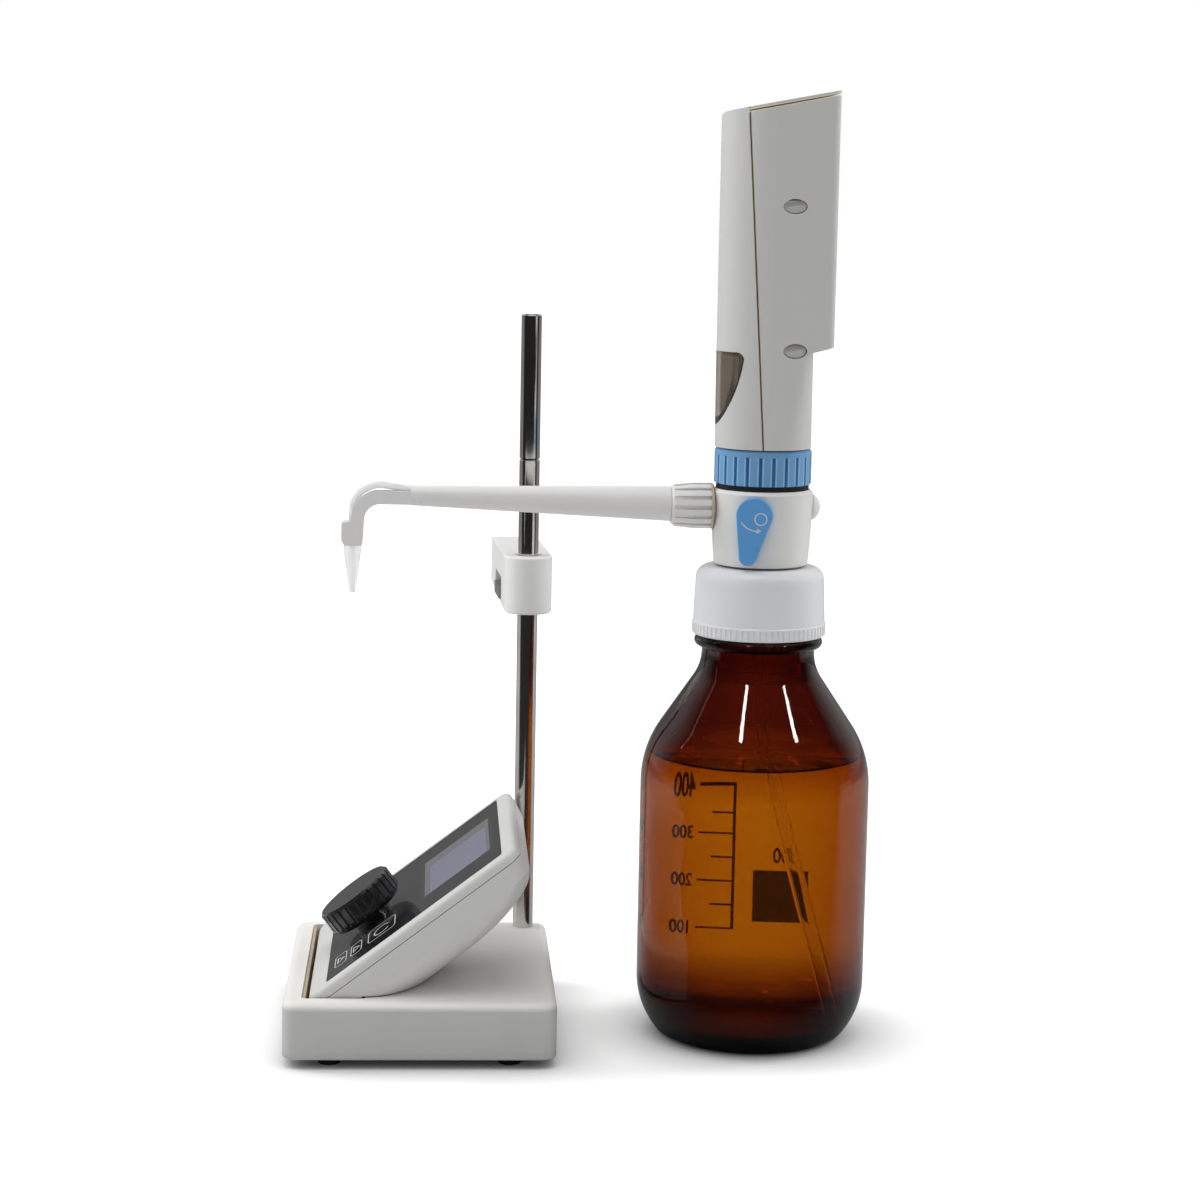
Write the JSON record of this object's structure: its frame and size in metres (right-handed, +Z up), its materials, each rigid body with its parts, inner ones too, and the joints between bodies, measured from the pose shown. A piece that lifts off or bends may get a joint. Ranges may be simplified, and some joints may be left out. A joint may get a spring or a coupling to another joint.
{
  "type": "bottle-top burette",
  "caption": "Motor-driven bottle-top burette on an amber laboratory bottle, with a long discharge arm and a tilted control unit on a small rod stand.",
  "frame": {"origin": "centre of the bottle's foot, on the surface the set stands on", "axes": "+Z up along the bottle; the discharge arm points along -X; the front of the control unit and of the set faces -Y"},
  "size_m": [0.2187, 0.174, 0.3551],
  "materials": {
    "amber_glass": "clear amber bottle glass, polished",
    "white_cap": "glossy white",
    "soft_seal": "pale soft sealing ring",
    "black_seal": "matt black",
    "inner_plastic": "plain moulded",
    "fluid_plastic": "white-grey chemical-resistant plastic",
    "spring_steel": "plain steel",
    "ceramic": "polished white ceramic ball",
    "blue_plastic": "satin blue",
    "beige_plastic": "beige fluoroplastic",
    "arm_plastic": "white-grey, satin",
    "clear_tube": "translucent tubing",
    "housing_plastic": "warm light grey, satin",
    "smoked_window": "smoked transparent plastic",
    "clear_glass": "clear borosilicate glass",
    "bright_steel": "polished stainless steel",
    "motor_steel": "plain metal can",
    "bronze": "turned",
    "circuit": "green circuit board",
    "cell_wrap": "wrapped cell",
    "base_plastic": "light grey, fine satin",
    "cast_weight": "rough casting",
    "black_rubber": "matt black foot",
    "zinc_screw": "plated",
    "clamp_plastic": "white-grey, satin",
    "grey_lever": "mid grey",
    "unit_plastic": "light grey, satin",
    "panel_film": "dark grey glossy film",
    "display_face": "unlit display",
    "black_knob": "glossy black",
    "dull_metal": "brown-grey metal ring"
  },
  "bodies": {
    "bench_set": {"bottle": "amber_glass", "base_cover": "base_plastic", "base_weight": "cast_weight", "base_plate": "zinc_screw", "base_feet": "black_rubber", "base_screws": "zinc_screw", "lower_rod": "bright_steel", "upper_rod": "bright_steel", "rod_bolt": "zinc_screw"},
    "bush": {"swivel_bush": "inner_plastic", "bottle_seal": "soft_seal"},
    "collar": {"bottle_collar": "white_cap"},
    "head": {"valve_block": "fluid_plastic", "retaining_clip": "spring_steel", "inlet_seat": "inner_plastic", "valve_balls": "ceramic", "side_plug": "fluid_plastic", "outlet_fitting": "beige_plastic", "coupling_seal": "black_seal", "front_shell": "housing_plastic", "rear_shell": "housing_plastic", "sight_window": "smoked_window", "cylinder_sleeve": "inner_plastic", "cylinder_seal": "black_seal", "glass_cylinder": "clear_glass", "motor_bracket": "inner_plastic", "screw_bearing": "bronze", "drive_motor": "motor_steel", "guide_rods": "bright_steel", "drive_board": "circuit", "drive_battery": "cell_wrap", "charging_socket": "motor_steel", "dip_tubes": "clear_tube"},
    "ring": {"coupling_ring": "blue_plastic"},
    "lever": {"valve_lever": "blue_plastic", "valve_plug": "inner_plastic"},
    "ferrule": {"arm_ferrule": "inner_plastic"},
    "nut": {"arm_nut": "arm_plastic"},
    "arm": {"discharge_arm": "arm_plastic", "discharge_tube": "clear_tube", "nozzle_tip": "clear_tube"},
    "screw": {"lead_screw": "bright_steel"},
    "plunger": {"piston": "inner_plastic", "piston_seal": "black_seal", "travel_nut": "bronze"},
    "unit": {"unit_back_shell": "unit_plastic", "unit_bezel": "unit_plastic", "panel_overlay": "panel_film", "display_module": "display_face", "unit_board": "circuit", "knob_encoder": "black_knob", "unit_battery": "cell_wrap", "unit_screws": "zinc_screw", "unit_pads": "black_rubber"},
    "knob": {"control_knob": "black_knob", "knob_shaft": "dull_metal"},
    "slider": {"clamp_liner": "inner_plastic"},
    "holder": {"rod_clamp": "clamp_plastic", "clamp_lever_pin": "bright_steel"},
    "release": {"clamp_lever": "grey_lever"}
  },
  "joints": [
    {"name": "head_lift", "type": "slide", "parent": "bench_set", "child": "bush", "axis": [0, 0, 1], "range_m": [0, 0.01]},
    {"name": "collar_turn", "type": "hinge", "parent": "bush", "child": "collar", "pos_m": [0, 0, 0.16], "axis": [0, 0, 1], "range_deg": [0, 905]},
    {"name": "head_swivel", "type": "hinge", "parent": "bush", "child": "head", "pos_m": [0, 0, 0.176], "axis": [0, 0, 1], "range_deg": [-5, 285]},
    {"name": "ring_turn", "type": "hinge", "parent": "head", "child": "ring", "pos_m": [0, 0, 0.217], "axis": [0, 0, 1], "range_deg": [0, 60]},
    {"name": "valve_turn", "type": "hinge", "parent": "head", "child": "lever", "pos_m": [0, 0, 0.202], "axis": [0.225, 0.9744, 0], "range_deg": [0, 80]},
    {"name": "arm_pull", "type": "slide", "parent": "head", "child": "ferrule", "axis": [-1, 0, 0], "range_m": [0, 0.009]},
    {"name": "nut_turn", "type": "hinge", "parent": "ferrule", "child": "nut", "pos_m": [-0.026, 0, 0.202], "axis": [-1, 0, 0], "range_deg": [0, 2165]},
    {"name": "arm_turn", "type": "hinge", "parent": "ferrule", "child": "arm", "pos_m": [-0.034, 0, 0.202], "axis": [-1, 0, 0], "range_deg": [-90, 90]},
    {"name": "screw_turn", "type": "hinge", "parent": "head", "child": "screw", "pos_m": [0, 0, 0.29], "axis": [0, 0, 1], "range_deg": [0, 1805]},
    {"name": "plunger_stroke", "type": "slide", "parent": "head", "child": "plunger", "axis": [0, 0, 1], "range_m": [0, 0.04]},
    {"name": "unit_lift", "type": "slide", "parent": "bench_set", "child": "unit", "axis": [0, 0, 1], "range_m": [0, 0.03]},
    {"name": "knob_turn", "type": "hinge", "parent": "unit", "child": "knob", "pos_m": [-0.1437, 0.0087, 0.0413], "axis": [-0.606, 0, 0.7955], "continuous": true},
    {"name": "holder_slide", "type": "slide", "parent": "bench_set", "child": "slider", "axis": [0, 0, 1], "range_m": [-0.034, 0.018]},
    {"name": "holder_swing", "type": "hinge", "parent": "slider", "child": "holder", "pos_m": [-0.085, 0.0607, 0.164], "axis": [0, 0, 1], "continuous": true},
    {"name": "release_press", "type": "hinge", "parent": "holder", "child": "release", "pos_m": [-0.09016, 0.0698, 0.158], "axis": [0, 0, 1], "range_deg": [0, 6], "stiffness_Nm_per_rad": 0.3}
  ],
  "couplings": [
    {"joint": "collar_turn", "follows": "head_lift", "rad_per_m": 1570.8},
    {"joint": "nut_turn", "follows": "arm_pull", "rad_per_m": 4188.8},
    {"joint": "screw_turn", "follows": "plunger_stroke", "rad_per_m": 785.4}
  ]
}
